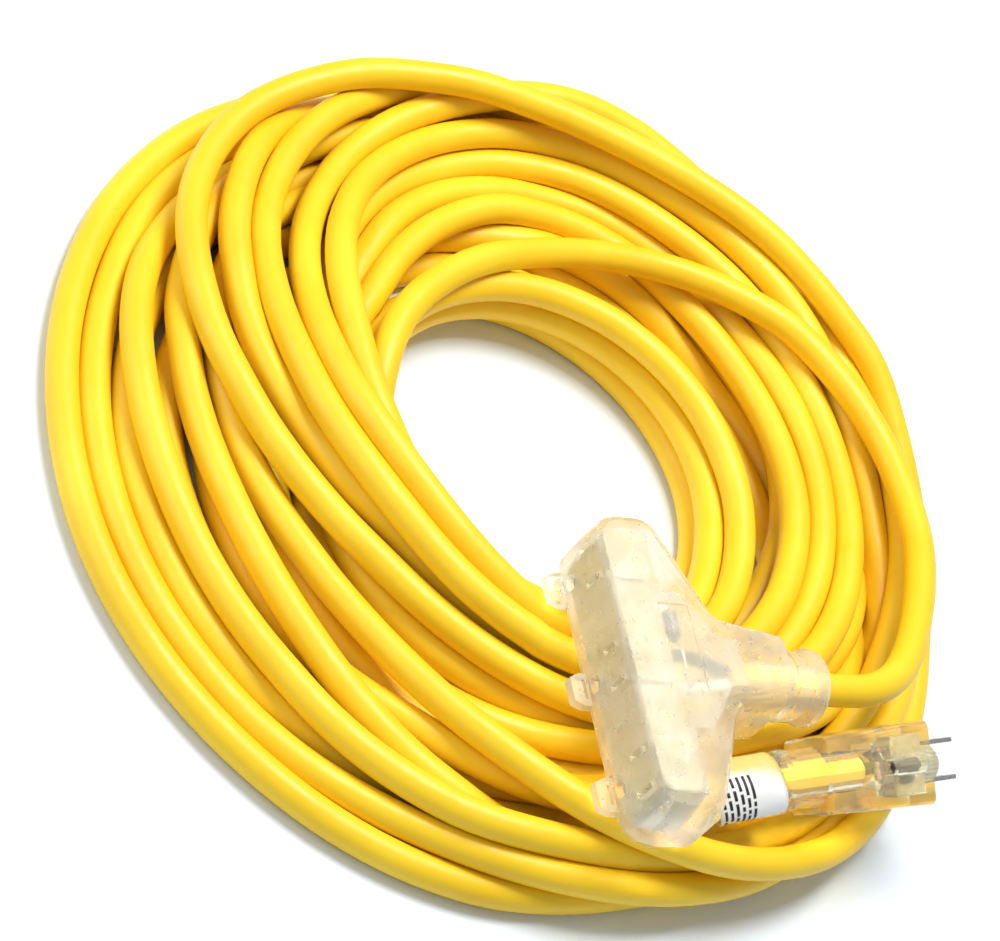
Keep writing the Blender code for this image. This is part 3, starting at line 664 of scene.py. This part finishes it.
def label_spot(y, turn, lift):
    """A point on the label: its Y, the angle round it from its outer side, and how far off its skin."""
    middle, side, up = label_frame(y)
    wave = LABEL_WAVE * math.sin(LABEL_WAVES_ROUND * turn + LABEL_WAVES_ALONG * y)
    wide = LABEL_HALF[0] + wave + lift
    high = LABEL_HALF[1] - wave + lift
    return middle + side * wide * math.cos(turn) + up * high * math.sin(turn)


def strip(spots_out, spots_in, closed):
    """A thin solid band: a grid of points outside, the same grid inside, and its edges shut."""
    rows = len(spots_out)
    columns = len(spots_out[0])
    steps = columns if closed else columns - 1
    mesh = bpy.data.meshes.new("band")
    model = bmesh.new()
    outer = [[model.verts.new(spot) for spot in row] for row in spots_out]
    inner = [[model.verts.new(spot) for spot in row] for row in spots_in]
    for row in range(rows - 1):
        for column in range(steps):
            after = (column + 1) % columns
            model.faces.new(
                (outer[row][column], outer[row][after], outer[row + 1][after], outer[row + 1][column])
            )
            model.faces.new(
                (inner[row + 1][column], inner[row + 1][after], inner[row][after], inner[row][column])
            )
    for column in range(steps):
        after = (column + 1) % columns
        model.faces.new((outer[0][after], outer[0][column], inner[0][column], inner[0][after]))
        model.faces.new((outer[-1][column], outer[-1][after], inner[-1][after], inner[-1][column]))
    if not closed:
        for row in range(rows - 1):
            model.faces.new((outer[row][0], outer[row + 1][0], inner[row + 1][0], inner[row][0]))
            model.faces.new((outer[row + 1][-1], outer[row][-1], inner[row][-1], inner[row + 1][-1]))
    bmesh.ops.recalc_face_normals(model, faces=model.faces)
    model.to_mesh(mesh)
    model.free()
    for face in mesh.polygons:
        face.use_smooth = True
    return mesh


def label_pieces():
    """The label film round the plug's lead, and plain bars where such a label is printed."""
    ys = np.linspace(*LABEL_Y, LABEL_ROWS)
    turns = np.linspace(0, math.tau, LABEL_COLUMNS, endpoint=False)
    film = strip(
        [[label_spot(y, turn, 0.0) for turn in turns] for y in ys],
        [[label_spot(y, turn, -LABEL_SKIN) for turn in turns] for y in ys],
        closed=True,
    )
    film.name = "cord_label"
    label = put("cord_label", film, "label_white")
    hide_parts("label_sleeve")

    print_mesh = bpy.data.meshes.new("label_print")
    joined = bmesh.new()
    for row, lengths in enumerate(PRINT_ROWS):
        y = PRINT_Y + PRINT_PITCH * row
        edges = (y - PRINT_HALF, y + PRINT_HALF)
        turn = PRINT_TURN
        for length in lengths:
            reach = turn - length * PRINT_UNIT
            line = np.linspace(turn, reach, 2 * length + 1)
            bar = strip(
                [[label_spot(edge, at, PRINT_LIFT + PRINT_SKIN) for at in line] for edge in edges],
                [[label_spot(edge, at, PRINT_LIFT) for at in line] for edge in edges],
                closed=False,
            )
            joined.from_mesh(bar)
            bpy.data.meshes.remove(bar)
            turn = reach - PRINT_UNIT * PRINT_GAP
    joined.to_mesh(print_mesh)
    joined.free()
    put("label_print", print_mesh, "black_insulation")
    return ["cord_label", "label_print"]


def camera():
    """The camera, which looks down on the coil from the connector's side."""
    data = bpy.data.cameras.new("camera")
    data.lens = CAMERA_LENS
    data.shift_x, data.shift_y = CAMERA_SHIFT
    view = bpy.data.objects.new("camera", data)
    bpy.context.scene.collection.objects.link(view)
    aim = (Vector(CAMERA_AIM) - Vector(CAMERA_AT)).to_track_quat("-Z", "Y").to_matrix()
    turned = aim @ Matrix.Rotation(CAMERA_ROLL, 3, "Z")
    view.matrix_world = Matrix.Translation(CAMERA_AT) @ turned.to_4x4()
    bpy.context.scene.camera = view


def lamp(name, at, size, power):
    """A round white lamp that aims at the origin."""
    data = bpy.data.lights.new(name, "AREA")
    data.shape = "DISK"
    data.size = size
    data.energy = power
    light = bpy.data.objects.new(name, data)
    bpy.context.scene.collection.objects.link(light)
    light.location = at
    light.rotation_euler = (-Vector(at)).to_track_quat("-Z", "Y").to_euler()


def studio():
    """A plain pale floor under a wide overhead lamp, with a lower one and a soft sky to fill."""
    mesh = bpy.data.meshes.new("floor")
    corners = [(FLOOR_HALF * x, FLOOR_HALF * y, 0) for x, y in ((-1, -1), (1, -1), (1, 1), (-1, 1))]
    mesh.from_pydata(corners, [], [(0, 1, 2, 3)])
    look, _ = blank_look(
        "floor_white",
        Base_Color=FLOOR_COLOUR,
        Roughness=0.9,
        Specular_IOR_Level=0.1,
    )
    mesh.materials.append(look)
    floor = bpy.data.objects.new("floor", mesh)
    bpy.context.scene.collection.objects.link(floor)

    world = bpy.data.worlds.new("studio")
    world.use_nodes = True
    sky = world.node_tree.nodes["Background"]
    sky.inputs["Color"].default_value = SKY_COLOUR
    sky.inputs["Strength"].default_value = SKY_STRENGTH
    scene = bpy.context.scene
    scene.world = world
    scene.view_settings.view_transform = "Standard"
    scene.view_settings.look = "None"
    for name, (at, size, power) in LAMPS.items():
        lamp(name, at, size, power)


camera()
studio()
dress_frame()
route = settle(ROUNDS)
cord = cord_piece(route)
on_lead = [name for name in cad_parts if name.startswith("plug_")] + label_pieces()
